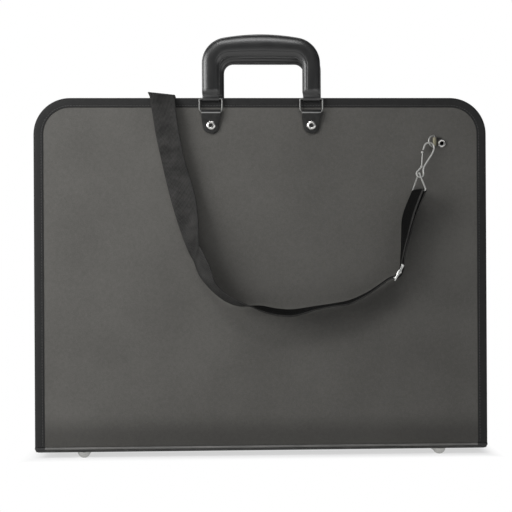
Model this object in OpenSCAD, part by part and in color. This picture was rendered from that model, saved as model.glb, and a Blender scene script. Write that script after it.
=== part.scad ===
// A hard-sided portfolio that stands on its spine. Two covers close over it and zip together
// round the sides and the top. X runs along the spine, the front faces -Y and +Z is up.
// The origin is on the floor, under the middle of the case.

/* [Case] */
// Overall width over the side bindings
case_w = 560; // [500:5:620]
// Height from the underside of the spine to the top edge
case_h = 436; // [400:2:480]
// Depth of the closed case over both bindings
case_d = 40; // [38:1:56]
// Radius of the two top corners
corner_r = 45; // [34:1:60]
// Thickness of the grained outer sheet
facing_t = 0.6; // [0.4:0.1:1]
// Thickness of the stiff board in each cover
board_t = 2.2; // [1.6:0.1:3]
// Thickness of the lining
lining_t = 0.4; // [0.3:0.1:0.8]

/* [Binding] */
// Thickness of the binding tape
tape_t = 0.8; // [0.5:0.1:1.2]
// Width of the binding on the outside of a cover
binding_w = 12; // [10:0.5:16]
// Width of the binding on the inside of a cover
inner_binding_w = 6.8; // [5:0.2:7.4]

/* [Spine] */
// Thickness of the spine's board
spine_board_t = 2.4; // [1.6:0.1:3]
// Radius of the spine's two lower edges
spine_edge_r = 2.5; // [1.5:0.1:3]
// Radius of the bead along each crease
bead_r = 1.7; // [1.4:0.1:1.8]
// Height of the crease axis over the underside of the spine
crease_rise = 4.8; // [4.6:0.1:6]
// Height of a stud
stud_h = 7.5; // [5:0.5:9]
// Radius of a stud
stud_r = 8; // [7.5:0.5:9]
// Distance between the studs along the spine
stud_pitch_x = 442; // [360:2:480]
// Distance between the front and the rear studs
stud_pitch_y = 20; // [17:1:20]

/* [Zip] */
// Depth of the gusset below the case's outline
gusset_depth = 8; // [7.6:0.1:9]
// Thickness of the gusset strip
gusset_t = 0.8; // [0.5:0.1:1]
// Width of the open lane between the two gusset strips
zip_lane_w = 14.4; // [14.2:0.2:18]
// Thickness of the zip's woven tape
zip_tape_t = 0.6; // [0.4:0.1:0.8]
// Distance from one tooth to the next in a row
tooth_pitch = 5; // [4.8:0.1:6]
// Thickness of a tooth, across the tape
tooth_t = 3; // [2.4:0.2:3.4]
// Height of the zip's lower ends over the crease axis
zip_rise = 32; // [26:1:60]
// Length of a zip slider
slider_len = 16; // [14:1:20]
// Length of a slider's pull
pull_len = 27; // [20:1:30]

/* [Handle] */
// Width of the handle
handle_w = 145.6; // [140:0.4:170]
// Width of a leg of the handle
leg_w = 21.8; // [20:0.2:25]
// Height of the grip, from the hand's gap to the crown
grip_h = 27.5; // [24:0.5:30]
// Height of the crown of the grip over the case's top edge
handle_rise = 77; // [74:1:90]
// Depth of the grip from front to back
grip_d = 16; // [14:0.5:18]
// Depth of a leg from front to back
leg_d = 13; // [11:0.5:14]
// Distance between the two tabs of a handle
tab_pitch = 124; // [120:1:136]
// Radius of the ring wire
ring_wire_r = 1.4; // [1.2:0.1:1.6]
// Width of a ring, over the wire
ring_w = 30.8; // [29:0.2:34]
// Height of a ring, over the wire
ring_h = 19.2; // [18:0.2:22]
// Thickness of the tab's leatherette
tab_t = 1.4; // [1:0.1:1.6]
// Width of a tab at its fold
tab_w = 23.5; // [20:0.5:24]
// Distance from a ring's lower bar down to the rivet
rivet_drop = 16; // [14:0.5:20]

/* [Strap] */
// Thickness of the webbing
webbing_t = 1.5; // [1:0.1:2]
// Radius of the hook's wire
hook_wire_r = 1.1; // [0.9:0.1:1.3]
// Distance of the anchor's rivet from the side of the case
anchor_inset = 55.6; // [46:0.2:66]
// Distance of the anchor's rivet below the top edge
anchor_drop = 56.5; // [54:0.5:60]

/* [Hidden] */
$fn = 48;
gap = 0.3;
fit = 0.1;

// The stack of one cover, from its outer face inwards, as distances from the middle plane
bind_y = case_d / 2;
face_y = bind_y - tape_t;
board_y = face_y - facing_t;
lining_y = board_y - board_t;
inner_y = lining_y - lining_t;
flange_y = inner_y - gusset_t;
inner_bind_y = flange_y - tape_t;

// The spine and its creases
base_z = stud_h;
top_z = base_z + case_h;
spine_d = case_d - 2;
hinge_y = spine_d / 2 - 1.2;
hinge_z = base_z + crease_rise;
end_bead_r = bead_r + 0.2;
cover_z = hinge_z + end_bead_r + gap;
spine_top = base_z + facing_t + spine_board_t;
lip_w = 1.2;
end_x = case_w / 2 - binding_w;
low_corner_r = 6;

// The zip: its middle plane lies below the gusset, and the chain runs up, over and down
tape_depth = gusset_depth + gusset_t;
chain_depth = tape_depth + zip_tape_t / 2;
zip_z = hinge_z + zip_rise;
lane_y = zip_lane_w / 2;
tooth_back = 3.4;
tooth_tip = 1;
side_run = top_z - corner_r - zip_z;
top_run = case_w - 2 * corner_r;
arc_run = (corner_r - chain_depth) * PI / 2;

// The rings and the handle hang on two axes in one plane
ring_y = bind_y + 3.2;
ring_bar_z = top_z - 18.2;
ring_top_z = ring_bar_z + ring_h - 2 * ring_wire_r;
bore_r = ring_wire_r + 0.2;
eye_r = bore_r + 1.3;
rivet_z = ring_bar_z - rivet_drop;
rivet_r = 3.1;
tongue_w = 13.4;
tongue_t = 4.4;
tongue_h = 4.2;
// The rear handle has slid a little along its rings
rear_slide = 5.4;

function unit(v) = v / norm(v);
function between(a, b, t) = a + (b - a) * t;
function ring_of(n) = [for (k = [0 : n - 1]) k * 360 / n];

// A point of the smooth curve through the rows p, in span i at the share t
function curve(p, i, t) =
  let (n = len(p) - 1, a = p[max(i - 1, 0)], b = p[i], c = p[min(i + 1, n)], d = p[min(i + 2, n)])
  0.5 * (2 * b + (c - a) * t + (2 * a - 5 * b + 4 * c - d) * t * t + (3 * b - a - 3 * c + d) * t * t * t);
function smooth(p, steps) = [for (i = [0 : len(p) - 2], j = [0 : steps - 1]) curve(p, i, j / steps),
  p[len(p) - 1]];

// A closed solid through rings of points, each ring with the same count
module loft(rings) {
  n = len(rings[0]);
  m = len(rings);
  polyhedron([for (r = rings) each r], concat(
    [[for (k = [0 : n - 1]) k], [for (k = [n - 1 : -1 : 0]) (m - 1) * n + k]],
    [for (i = [0 : m - 2], k = [0 : n - 1]) let (a = i * n + k, b = i * n + (k + 1) % n)
      each [[a, a + n, b], [b, a + n, b + n]]]));
}

// Round wire bent along flat points [x, z], open or closed
module wire(points, r, closed = false, sides = 8) {
  m = len(points);
  at = function (i) points[closed ? (i + m) % m : max(0, min(m - 1, i))];
  rings = [for (i = [0 : m - 1 + (closed ? 1 : 0)])
    let (p = at(i), d = unit(at(i + 1) - at(i - 1)), side = [d[1], -d[0]])
    [for (a = ring_of(sides)) [p[0] + r * cos(a) * side[0], r * sin(a), p[1] + r * cos(a) * side[1]]]];
  if (closed) {
    polyhedron([for (i = [0 : m - 1]) each rings[i]],
      [for (i = [0 : m - 1], k = [0 : sides - 1])
        let (j = (i + 1) % m, a = i * sides + k, b = i * sides + (k + 1) % sides,
          c = j * sides + k, e = j * sides + (k + 1) % sides)
        each [[a, c, b], [b, c, e]]]);
  } else loft([for (i = [0 : m - 1]) rings[i]]);
}

// Webbing through rows of two edge points [x, y, z, x, y, z]
module ribbon(rows, t) {
  m = len(rows);
  left = function (r) [r[0], r[1], r[2]];
  right = function (r) [r[3], r[4], r[5]];
  loft([for (i = [0 : m - 1])
    let (r = rows[i], before = rows[max(i - 1, 0)], after = rows[min(i + 1, m - 1)],
      along = left(after) + right(after) - left(before) - right(before),
      n = unit(cross(along, right(r) - left(r))) * t / 2)
    [left(r) - n, right(r) - n, right(r) + n, left(r) + n]]);
}

// Turned half way round the vertical axis: every rear piece is its front twin placed so
module rear() { rotate([0, 0, 180]) children(); }

// A flat outline in X and Z, extruded from y0 back to y1
module slab(y0, y1) { translate([0, y1, 0]) rotate([90, 0, 0]) linear_extrude(y1 - y0) children(); }

// The cover's outline, drawn in by a depth, down to a height
module outline(depth, low = cover_z) {
  half = case_w / 2 - depth;
  square_top = top_z - corner_r;
  union() {
    translate([-half, low]) square([2 * half, square_top - low]);
    translate([corner_r - case_w / 2, low]) square([top_run, top_z - depth - low]);
    for (s = [-1, 1]) translate([s * top_run / 2, square_top]) circle(corner_r - depth);
  }
}

// A band that follows the outline up, over and down, between two depths
module band(from, to, low = cover_z) {
  difference() {
    outline(from, low);
    outline(to, low - 1);
  }
}

module across_y(r, y0, y1) { translate([0, y1, 0]) rotate([90, 0, 0]) cylinder(r = r, h = y1 - y0); }
module along_x(r, x0, x1) { translate([x0, 0, 0]) rotate([0, 90, 0]) cylinder(r = r, h = x1 - x0); }
module at_tabs() { for (s = [-1, 1]) translate([s * tab_pitch / 2, 0, 0]) children(); }
anchor_x = case_w / 2 - anchor_inset;
module at_anchor() { translate([anchor_x, 0, top_z - anchor_drop]) children(); }

// The holes that the rivets' shanks pass through in every layer of a cover
module rivet_holes() {
  at_tabs() translate([0, 0, rivet_z]) across_y(rivet_r + fit, -bind_y, 0);
  at_anchor() across_y(rivet_r + fit, -bind_y, 0);
}

// A profile in Y and Z along the spine
module spine_bar(x0, x1) {
  translate([x0, 0, 0]) rotate([90, 0, 90]) linear_extrude(x1 - x0) children();
}

// The outer profile of the spine: a shallow strip with rounded lower edges
module spine_outer() {
  flat = spine_d / 2 - spine_edge_r;
  intersection() {
    translate([-spine_d / 2, base_z]) square([spine_d, spine_top - base_z]);
    union() {
      translate([-spine_d / 2, base_z + spine_edge_r]) square([spine_d, spine_top]);
      translate([-flat, base_z - 1]) square([2 * flat, spine_top]);
      for (s = [-1, 1]) translate([s * flat, base_z + spine_edge_r]) circle(spine_edge_r);
    }
  }
}

// The crease beads, with the lips that join them to the strip
module beads(r) {
  for (s = [-1, 1]) {
    translate([s * hinge_y, hinge_z]) circle(r);
    translate([s * hinge_y - lip_w / 2, spine_top - 0.5]) square([lip_w, hinge_z - spine_top + 0.5]);
  }
}

board_half = hinge_y - lip_w / 2 - 0.2;

module spine_skin() {
  color("#2c2c2b") difference() {
    spine_bar(-end_x, end_x) difference() {
      union() { spine_outer(); beads(bead_r); }
      translate([-board_half, base_z + facing_t]) square([2 * board_half, spine_board_t]);
    }
    at_studs() cylinder(r = 2 + fit, h = 3 * base_z);
  }
}

module spine_board() {
  color("#3a3a38") difference() {
    translate([-case_w / 2 + tape_t, -board_half + fit, base_z + facing_t])
      cube([case_w - 2 * tape_t, 2 * board_half - 2 * fit, spine_board_t]);
    at_studs() cylinder(r = 2 + fit, h = 3 * base_z);
  }
}

module spine_lining() {
  color("#1e1e1e") difference() {
    translate([1 - end_x, 0.5 - board_half, spine_top])
      cube([2 * end_x - 2, 2 * board_half - 1, lining_t]);
    at_studs() cylinder(r = 2 + fit, h = 3 * base_z);
  }
}

// Tape folded over each end of the spine, with a rounded lower corner
module spine_end_bindings() {
  cap_x = case_w / 2;
  color("#1c1c1c") for (s = [0, 180]) rotate([0, 0, s]) difference() {
    intersection() {
      spine_bar(end_x, cap_x) union() { spine_outer(); beads(end_bead_r); }
      slab(-case_d, case_d) union() {
        translate([0, base_z - 1]) square([cap_x - low_corner_r, 3 * base_z]);
        translate([0, base_z + low_corner_r]) square([cap_x, 3 * base_z]);
        translate([cap_x - low_corner_r, base_z + low_corner_r]) circle(low_corner_r);
      }
    }
    translate([end_x - 1, -board_half, base_z + facing_t])
      cube([cap_x - tape_t - end_x + 1 + fit, 2 * board_half, spine_board_t + 1]);
  }
}

// The short fabric gusset that closes each end between the spine and the zip's lower end
module end_gussets() {
  half = inner_bind_y - 1.4;
  rise = zip_z - spine_top - 7;
  foot = spine_top + lining_t;
  x = case_w / 2 - chain_depth;
  color("#1a1a1a") for (s = [-1, 1]) translate([s * x - 0.5, 0, 0]) {
    spine_bar(0, 1) difference() {
      translate([-half, spine_top]) square([2 * half, rise]);
      for (e = [-1, 1]) translate([e * half, spine_top + rise]) circle(4);
    }
  }
  color("#1a1a1a") for (s = [-1, 1]) translate([s * (x + 0.5) - (s > 0 ? 4 : 0), -half, spine_top])
    cube([4, 2 * half, lining_t]);
}

module at_studs() {
  for (sx = [-1, 1], sy = [-1, 1]) translate([sx * stud_pitch_x / 2, sy * stud_pitch_y / 2, 0]) children();
}

// Each stud is a dome with a flat foot, on a shank that passes through the spine
module floor_studs() {
  color("silver") at_studs() {
    intersection() {
      translate([0, 0, base_z]) sphere(r = stud_r + 0.02);
      cylinder(r = stud_r, h = base_z);
    }
    cylinder(r = 2, h = spine_top + lining_t + 0.8);
  }
}

module stud_washers() {
  color("darkgray") at_studs() translate([0, 0, spine_top + lining_t]) difference() {
    cylinder(r = 6, h = 0.8);
    translate([0, 0, -1]) cylinder(r = 2 + fit, h = 3);
  }
}

module facing() {
  color("#63625e") slab(-face_y, -board_y) outline(tape_t + fit);
}
module front_facing() { difference() { facing(); rivet_holes(); } }

module front_board() {
  color("#4a4945") difference() {
    slab(-board_y, -lining_y) outline(tape_t + fit);
    rivet_holes();
  }
}

module front_lining() {
  color("#1e1e1e") difference() {
    slab(-lining_y, -inner_y) outline(tape_t + fit);
    rivet_holes();
  }
}

// Tape folded over the raw edges: a wide outer leg, the edge and a narrow inner leg
module front_binding() {
  color("#2b2b2b") union() {
    slab(-bind_y, -face_y) band(0, binding_w);
    slab(-bind_y, -inner_bind_y) band(0, tape_t);
    slab(-flange_y, -inner_bind_y) band(0, inner_binding_w);
  }
}

// The gusset is caught under the binding and stands in towards the zip
module front_gusset() {
  color("#1a1a1a") union() {
    slab(-inner_y, -flange_y) band(tape_t + fit, tape_depth, zip_z - 5);
    slab(-inner_y, -lane_y) band(gusset_depth, tape_depth, zip_z - 5);
  }
}

module front_zip_tape() {
  color("#161616") slab(-lane_y - 5, -tooth_back) band(tape_depth, tape_depth + zip_tape_t, zip_z - 3);
}

// One tooth of a row: a root, a drawn-in neck and a wide head that locks between two others
function tooth(x, p) = let (root = 0.2 * p, neck = 0.14 * p, head = 0.21 * p, tip = 0.12 * p)
  [[x - root, -2.4], [x - neck, -0.7], [x - head, 0.3], [x - tip, tooth_tip],
   [x + tip, tooth_tip], [x + head, 0.3], [x + neck, -0.7], [x + root, -2.4]];

// A straight comb of teeth from x = 0 to x = run
module comb(run) {
  n = round(run / tooth_pitch);
  p = run / n;
  translate([0, 0, -tooth_t / 2]) linear_extrude(tooth_t)
    polygon(concat([for (k = [0 : n - 1]) each tooth((k + 0.25) * p, p)],
      [[run, -2.4], [run, -tooth_back], [0, -tooth_back], [0, -2.4]]));
}

// The teeth of a corner, along an arc from the side run to the top run
module corner_comb() {
  r = corner_r - chain_depth;
  n = round(arc_run / tooth_pitch);
  p = arc_run / n;
  rotate([90, 0, 0]) difference() {
    translate([0, 0, 2.4]) cylinder(r = r + tooth_t / 2, h = tooth_back - 2.4);
    translate([0, 0, 2]) cylinder(r = r - tooth_t / 2, h = 2);
    translate([-2 * r, -2 * r, 0]) cube([4 * r, 2 * r, 5]);
    translate([0, -2 * r, 0]) cube([2 * r, 4 * r, 5]);
  }
  for (k = [0 : n - 1]) rotate([0, (k + 0.25) * 90 / n - 90, 0])
    translate([0, 0, r - tooth_t / 2]) linear_extrude(tooth_t)
      polygon(concat(tooth(0, p), [[0.2 * p, -2.6], [-0.2 * p, -2.6]]));
}

module front_zip_teeth() {
  side_x = case_w / 2 - chain_depth;
  color("#111111") union() {
    translate([-side_x, 0, zip_z]) rotate([0, -90, 0]) comb(side_run);
    translate([-top_run / 2, 0, top_z - corner_r]) corner_comb();
    translate([-top_run / 2, 0, top_z - chain_depth]) comb(top_run);
    translate([top_run / 2, 0, top_z - corner_r]) rotate([0, 90, 0]) corner_comb();
    translate([side_x, 0, top_z - corner_r]) rotate([0, 90, 0]) comb(side_run);
  }
}

// Leatherette folded round a ring's lower bar and riveted to the cover
module tab() {
  low = rivet_z - 10;
  fold_r = bore_r + tab_t;
  seat = face_y + 2 * tab_t;
  difference() {
    intersection() {
      union() {
        translate([0, -ring_y, ring_bar_z]) along_x(fold_r, -tab_w / 2, tab_w / 2);
        spine_bar(-tab_w / 2, tab_w / 2)
          polygon([[-face_y, low], [-face_y, ring_bar_z - 1], [-ring_y + fold_r - 0.3, ring_bar_z + 0.5],
            [-ring_y - fold_r + 0.02, ring_bar_z], [-seat, ring_bar_z - 9], [-seat, low]]);
      }
      slab(-2 * bind_y, 0) union() {
        translate([0, rivet_z]) circle(tab_w / 2 - 1.5);
        polygon([[1.5 - tab_w / 2, rivet_z], [-tab_w / 2, ring_bar_z - 5], [-tab_w / 2, ring_bar_z + 5],
          [tab_w / 2, ring_bar_z + 5], [tab_w / 2, ring_bar_z - 5], [tab_w / 2 - 1.5, rivet_z]]);
      }
    }
    translate([0, -ring_y, ring_bar_z]) along_x(bore_r, -tab_w, tab_w);
    translate([0, 0, rivet_z]) across_y(rivet_r + fit, -2 * bind_y, 0);
  }
}
module front_tabs() { color("#232323") at_tabs() tab(); }

// A tubular rivet: rolled head outside, shank through the layers, flare over the washer
module rivet(head_r, seat) {
  tail = inner_y - 1.4;
  rotate([90, 0, 0]) rotate_extrude() polygon([[rivet_r - 0.8, tail], [rivet_r - 0.8, seat + 1],
    [rivet_r - 0.3, seat + 1.5], [rivet_r + 0.6, seat + 1.7], [head_r - 0.8, seat + 1.1],
    [head_r, seat + 0.2], [head_r, seat], [rivet_r, seat], [rivet_r, inner_y - 0.8],
    [rivet_r + 1.2, inner_y - 0.9], [rivet_r + 1.2, tail + 0.1]]);
}
module front_tab_rivets() {
  color("#b8b8b8") at_tabs() translate([0, 0, rivet_z]) rivet(5.9, face_y + 2 * tab_t);
}

module washer() {
  difference() {
    across_y(7, -inner_y, -inner_y + 0.8);
    across_y(rivet_r + fit, -bind_y, 0);
  }
}
module front_tab_washers() { color("darkgray") at_tabs() translate([0, 0, rivet_z]) washer(); }
module front_anchor_washer() { color("darkgray") at_anchor() washer(); }

// The anchor: a plate under its rivet, rolled round the straight side of the D-ring
plate_t = 1;
d_wire_r = 0.9;
d_bar_x = -9.6;
ring_z = 1.9;
d_bar_y = face_y + d_wire_r + fit + plate_t;
module front_anchor_plate() {
  roll_r = d_wire_r + 0.2 + plate_t;
  color("#8a8672") at_anchor() difference() {
    union() {
      across_y(5, -face_y - plate_t, -face_y);
      translate([d_bar_x, -face_y - plate_t, ring_z - 5]) cube([-d_bar_x, plate_t, 10]);
      translate([d_bar_x, -d_bar_y - 0.2, ring_z - 5]) cylinder(r = roll_r, h = 10);
    }
    translate([d_bar_x, -d_bar_y - 0.2, ring_z - 6]) cylinder(r = d_wire_r + 0.2, h = 12);
    across_y(rivet_r + fit, -2 * bind_y, 0);
    translate([d_bar_x - 9, -face_y, -9]) cube([20, 9, 20]);
  }
}
module front_anchor_rivet() { color("#b8b8b8") at_anchor() rivet(5.2, face_y + plate_t); }

// The D-ring stands out from the cover, and its bow points to the middle of the case
module front_d_ring() {
  bow = 10.9;
  half = 7.2;
  points = concat([for (a = [0 : 15 : 180]) [-bow * sin(a), half * cos(a)]], [[0, -half / 3], [0, half / 3]]);
  color("#a8a8a0") at_anchor() translate([d_bar_x, -d_bar_y - 0.2, ring_z]) rotate([0, 0, 39])
    wire(points, d_wire_r, true);
}

// The snap hook hangs on the D-ring, leaning in and outwards. It narrows from its arch down to
// a neck, and the eye below the neck holds the strap's loop.
hook_at = [-17.2, -bind_y - 7, -6];
hook_turn = [-14, 21.9, 0];
hook_r = 6.2;
hook_len = 34.5;
eye_bend = 4.4;
nose_z = -6;
module at_hook() { at_anchor() translate(hook_at) rotate(hook_turn) children(); }

module front_hook() {
  color("#a8a8a0") at_hook() wire(concat(
    [for (a = [130 : 20 : 390]) [eye_bend * cos(a), eye_bend * sin(a) - hook_len]],
    [[2.6, 4.8 - hook_len], [1.9, 7.2 - hook_len], [1.9, 9.8 - hook_len], [3.6, -17], [5.4, -10],
      [hook_r, -4]],
    [for (a = [0 : 20 : 180]) [hook_r * cos(a), hook_r * sin(a)]],
    [[-hook_r, nose_z]]), hook_wire_r);
}

// The gate: a sprung tongue from the eye up to the hook's nose, with a thumb knob
gate_at = [-1.2, 7 - hook_len];
gate_top = [-hook_r, nose_z - 2.6];
module front_hook_gate() {
  color("#b4b4ac") at_hook() union() {
    translate([gate_at[0], 0, gate_at[1]]) across_y(1.5, -1.6, 1.6);
    wire([gate_at + [0, 1], gate_top], 0.8);
    translate([gate_top[0], 0, gate_top[1] - 1]) sphere(r = 1.7);
  }
}

// The wire loop in the strap's end, turned so that the webbing's edge faces out
loop_w = 37.4;
loop_turn = 70;
loop_rise = 19.5;
loop_wire_r = 1;
loop_at = [-29.9, -bind_y - 17.75, -58.4];
module front_strap_loop() {
  half = loop_w / 2 - loop_wire_r;
  points = concat([for (a = [0 : 30 : 180]) [-3 * cos(a), loop_rise + 3 * sin(a)]],
    [[half, 2.2], [half - 0.6, 0.7], [half - 2, 0], [2 - half, 0], [0.6 - half, 0.7], [-half, 2.2]]);
  color("#a8a8a0") at_anchor() translate(loop_at) rotate([0, 0, -loop_turn])
    wire(points, loop_wire_r, true);
}

// The strap's rows run from the loop to the top edge. A row gives its two edges, each as
// x from the middle, distance out from the binding's face, and drop below the top edge.
// The first rows hang from the loop, so they are counted from it.
loop_x = anchor_x + loop_at[0];
loop_drop = anchor_drop - loop_at[2];
function hung(rows) = [for (r = rows) r + [loop_x, 0, loop_drop, loop_x, 0, loop_drop]];
// The other rows follow the loop's place by a share that fades to nothing at an x further in
loop_home = 194.5;
drop_home = 114.9;
function led(rows, still_x) = [for (r = rows)
  let (share = max(0, min(1, (r[0] - still_x) / (loop_home - still_x))),
    dx = share * (loop_x - loop_home), dz = share * (loop_drop - drop_home))
  r + [dx, 0, dz, dx, 0, dz]];
front_rows = concat(hung([
  [-5.4, 2.9, 0, 5.4, 32.6, 0], [-11.6, 2.5, 26.6, -1.9, 33, 28.6], [-15.2, 2.5, 54.6, -8.6, 34, 55.1],
  [-18, 2.8, 82.9, -15.2, 34.8, 84.1], [-24.5, 3, 101.4, -23, 35, 103.1]]), led([
  [153, 3, 229.5, 154, 35, 231], [135.5, 3, 241, 136.6, 35, 242.5], [104.3, 3.5, 254, 104.3, 35, 257.3],
  [84, 5, 253.5, 82.5, 35, 260], [62, 8, 251.5, 61, 34, 266],
  [33.5, 10, 251, 35, 32, 271], [7, 7, 254, 6, 35, 267.3],
  [-18, 5, 264, -17.4, 35.5, 256], [-43.5, 4, 250.8, -34.5, 34, 247.5],
  [-62.6, 3, 236.9, -53.4, 33, 231.3], [-81.6, 2.8, 208.3, -64.8, 29.6, 203.3],
  [-93.2, 2.5, 176, -75.1, 28, 171], [-104.9, 2.5, 148.7, -79.1, 20, 141.2],
  [-113.8, 2.5, 115.1, -87.2, 18.5, 109.5], [-121.7, 2.5, 89.1, -93.2, 16, 84.1],
  [-125.9, 2.5, 65.5, -99.4, 19, 63], [-132.9, 2.5, 36.9, -104.3, 15, 34.4],
  [-136, 3.4, 6.5, -105.4, 8, 7], [-137.6, 0.4, -3.9, -106.3, 0.6, -0.9]], -120));
// The rear rows, in the rear cover's own turned frame: a deep loop behind the case
rear_rows = concat(hung([
  [-5.4, 2.9, 0, 5.4, 32.6, 0], [-0.4, 2.5, 25.1, 8.6, 33, 26.1], [5.5, 2.5, 65.1, 11.5, 34.5, 65.1],
  [7.5, 3, 105.1, 10.5, 35, 105.1], [1.5, 3, 147.1, 3.5, 35, 147.1]]), led([
  [176, 3, 292, 177, 35, 293], [146, 3, 298, 146, 35, 300], [121, 3, 272, 118, 35, 273],
  [111, 3, 230, 104, 34.5, 230], [115, 2.5, 180, 99, 30, 178], [121, 2.5, 125, 98, 25, 123],
  [128, 2.5, 75, 100, 17, 73], [134, 2.5, 35, 104, 10, 33],
  [137, 3.4, 6.5, 105.9, 6, 7], [137.6, 0.4, -3.9, 106.3, 0.6, -0.9]], 137));
crown_rows = [for (t = [-1 : 0.25 : 1]) let (lift = 5.4 * (1 - pow(t, 4)))
  [-137.8 - lift / 2, t * (bind_y - 0.1), top_z + 4.2 + lift, -106.4, t * (bind_y - 0.1), top_z + 1.2 + lift]];

function placed(r) = [r[0], -bind_y - r[1], top_z - r[2], r[3], -bind_y - r[4], top_z - r[5]];
function run_of(rows, i) = let (r = rows[min(i + 1, len(rows) - 1)], q = rows[max(i - 1, 0)])
  unit([r[0] + r[3] - q[0] - q[3], r[1] + r[4] - q[1] - q[4], r[2] + r[5] - q[2] - q[5]]);
function face_of(rows, i) = let (r = rows[i]) unit(cross(run_of(rows, i), [r[3] - r[0], r[4] - r[1], r[5] - r[2]]));
function moved(r, v) = r + [v[0], v[1], v[2], v[0], v[1], v[2]];

// The webbing goes round the loop's bar, and its tail lies behind the strap down to the buckle
fold_r = loop_wire_r + webbing_t / 2 + 0.15;
bar_t = 1.6;
buckle_step = 12;
function placed_run(rows) = smooth([for (r = rows) placed(r)], 3);
function spread(i, last) = let (near = webbing_t / 2 + gap, wide = (webbing_t + bar_t) / 2 + gap)
  i < 6 ? between(fold_r, near, i / 6) : between(near, wide, max(0, min(1, (i - last + 4) / 3)));
module strap(rows, last) {
  run = placed_run(rows);
  n0 = face_of(run, 0);
  up = -run_of(run, 0);
  color("#3c3b38") ribbon(concat(
    [for (i = [last : -1 : 0]) moved(run[i], -spread(i, last) * face_of(run, i))],
    [for (a = [150 : -30 : 30]) moved(run[0], fold_r * (cos(a) * n0 + sin(a) * up))],
    [for (i = [0 : len(run) - 1]) moved(run[i], spread(i, last) * max(0, 1 - max(0, i - last) / 5)
      * face_of(run, i))]), webbing_t);
}
module front_strap() { strap(front_rows, buckle_step + 1); }
module rear_strap() { rear() strap(rear_rows, 4); }
module strap_crown() { color("#3c3b38") ribbon(crown_rows, webbing_t); }

// A three-bar slider buckle: the strap passes over its middle bar and under its two end bars
buckle_w = 38;
buckle_len = 20;
end_bar_rise = 4.9;
module strap_buckle() {
  run = placed_run(front_rows);
  r = run[buckle_step];
  t = run_of(run, buckle_step);
  n = face_of(run, buckle_step);
  w = cross(n, t);
  color("#a8a8a0") translate([r[0] + r[3], r[1] + r[4], r[2] + r[5]] / 2)
    rotate([atan2(w[2], n[2]), asin(-t[2]), atan2(t[1], t[0])]) union() {
      translate([-bar_t / 2, -buckle_w / 2, -bar_t / 2]) cube([bar_t, buckle_w, bar_t]);
      for (s = [-1, 1]) translate([s * (buckle_len - bar_t) / 2 - bar_t / 2, -buckle_w / 2, end_bar_rise])
        cube([bar_t, buckle_w, bar_t]);
      for (s = [-1, 1]) translate([-buckle_len / 2, s * (buckle_w / 2 - 0.9) - 0.9, -bar_t / 2])
        cube([buckle_len, 1.8, end_bar_rise + 1.5 * bar_t]);
    }
}

// A pair of rectangular wire rings, with drawn-in lower corners
module front_rings() {
  half = ring_w / 2 - ring_wire_r;
  tall = ring_top_z - ring_bar_z;
  foot = tab_w / 2 + 0.25;
  turn = 1.6;
  points = concat([[foot, 0], [half - 0.4, 2.6], [half, 4.2]],
    [for (a = [0 : 30 : 90]) [half - turn + turn * cos(a), tall - turn + turn * sin(a)]],
    [for (a = [90 : 30 : 180]) [turn - half + turn * cos(a), tall - turn + turn * sin(a)]],
    [[-half, 4.2], [0.4 - half, 2.6], [-foot, 0]]);
  color("#8e8e88") at_tabs() translate([0, -ring_y, ring_bar_z]) wire(points, ring_wire_r, true, 12);
}

// The handle: a moulded bow lofted between its inner and outer outlines. Each corner turns until
// it leans by a few degrees, and a shallow arch joins the two.
function bow(half, crown, r, low, lean) =
  let (run = half - r + r * sin(lean), arch = run * tan(lean) / 2, z = crown - arch - r * cos(lean))
  concat(
    [for (t = [0 : 0.2 : 1]) [-half, between(low, z, t)]],
    [for (k = [1 : 5]) let (a = 180 - k * (90 - lean) / 6) [-half + r + r * cos(a), z + r * sin(a)]],
    [for (t = [-1 : 0.2 : 1]) [t * run, crown - arch * t * t]],
    [for (k = [5 : -1 : 1]) let (a = k * (90 - lean) / 6) [half - r + r * cos(a), z + r * sin(a)]],
    [for (t = [1 : -0.2 : 0]) [half, between(low, z, t)]]);

leg_z = ring_top_z + 8;
module front_handle() {
  crown = top_z + handle_rise;
  outer = bow(handle_w / 2, crown, 32, leg_z, 10);
  inner = bow(handle_w / 2 - leg_w, crown - grip_h, 12, leg_z, 0);
  n = len(outer) - 1;
  squareness = 2 / 2.7;
  sides = 18;
  bend = function (v) sign(v) * pow(abs(v), squareness);
  ring = function (a, b, depth) [for (k = ring_of(sides)) let (s = (1 + bend(cos(k))) / 2)
    [between(a[0], b[0], s), -depth / 2 * bend(sin(k)), between(a[1], b[1], s)]];
  depth_at = function (i) between(leg_d, grip_d, max(0, 1 - abs(i / n - 0.5) * 4));
  foot = function (side, share) let (x = side * between(tab_pitch, handle_w - leg_w, share) / 2,
      half = between(tongue_w / 2 + 1, leg_w / 2, pow(share, 0.6)),
      z = between(ring_top_z + tongue_h, leg_z, share))
    ring([x + half, z], [x - half, z], between(tongue_t + 1.4, leg_d, share));
  color("#262625") translate([0, -ring_y, 0]) loft(concat(
    [foot(-1, 0), foot(-1, 0.35), foot(-1, 0.8)],
    [for (i = [0 : n]) ring(inner[i], outer[i], depth_at(i))],
    [for (s = [0.8, 0.35, 0]) let (r = foot(1, s)) [for (k = [0 : sides - 1]) r[(sides + sides / 2 - k) % sides]]]));
}

// The flat tongues in the handle's feet, each with an eye round its ring's upper bar
module front_tongues() {
  color("#1d1d1d") at_tabs() translate([0, -ring_y, ring_top_z]) difference() {
    union() {
      along_x(eye_r, -tongue_w / 2, tongue_w / 2);
      translate([-tongue_w / 2, -tongue_t / 2, 0]) cube([tongue_w, tongue_t, tongue_h]);
    }
    along_x(bore_r, -tongue_w, tongue_w);
  }
}

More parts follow.
